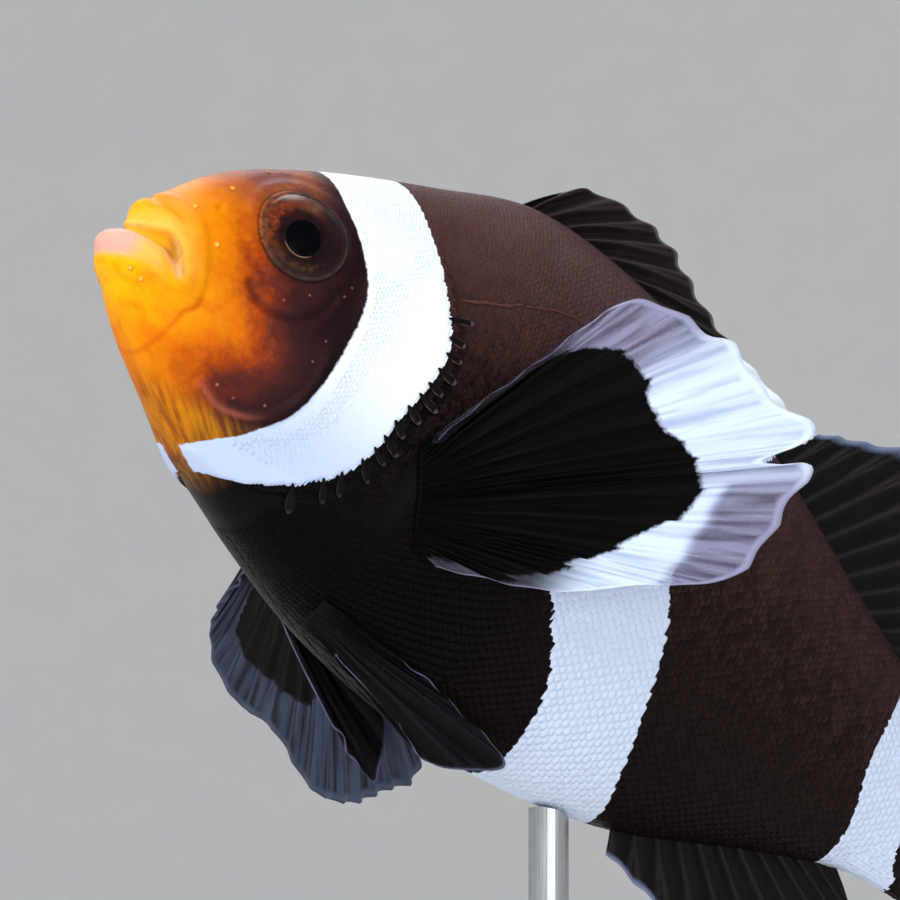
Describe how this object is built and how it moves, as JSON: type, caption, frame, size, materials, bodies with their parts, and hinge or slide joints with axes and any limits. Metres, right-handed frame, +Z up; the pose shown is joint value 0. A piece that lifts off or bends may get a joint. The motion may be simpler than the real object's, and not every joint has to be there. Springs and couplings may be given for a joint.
{
  "type": "black clownfish on a display stand",
  "caption": "A life-size still model of a black and white banded clownfish with a yellow-orange face, head up, held over a flat base by one rod.",
  "frame": {"origin": "the centre of the underside of the stand's base, on the surface it stands on", "axes": "the snout points along -X and is lifted, the fish's left side faces -Y, and +Z is up; the base's long side lies along X"},
  "size_m": [0.0784, 0.0451, 0.0763],
  "materials": {
    "face_skin": "smooth moist skin, yellow-orange fading to brown",
    "body_skin": "fine scales, dark brown with bluish white bars",
    "fin": "black rayed fin with a pale margin",
    "eye": "clear domed eye with a dark iris",
    "stand_base": "dark satin wood",
    "stand_rod": "brushed steel rod"
  },
  "bodies": {
    "root": {"head": "face_skin", "jaw_lower": "face_skin", "trunk": "body_skin", "tail_stalk": "body_skin", "eye_left": "eye", "eye_right": "eye", "dorsal_fin_spiny": "fin", "dorsal_fin_soft": "fin", "anal_fin": "fin", "tail_fin": "fin", "pectoral_fin_left": "fin", "pectoral_fin_right": "fin", "pelvic_fin_left": "fin", "pelvic_fin_right": "fin", "stand_base": "stand_base", "stand_rod": "stand_rod"}
  },
  "joints": []
}
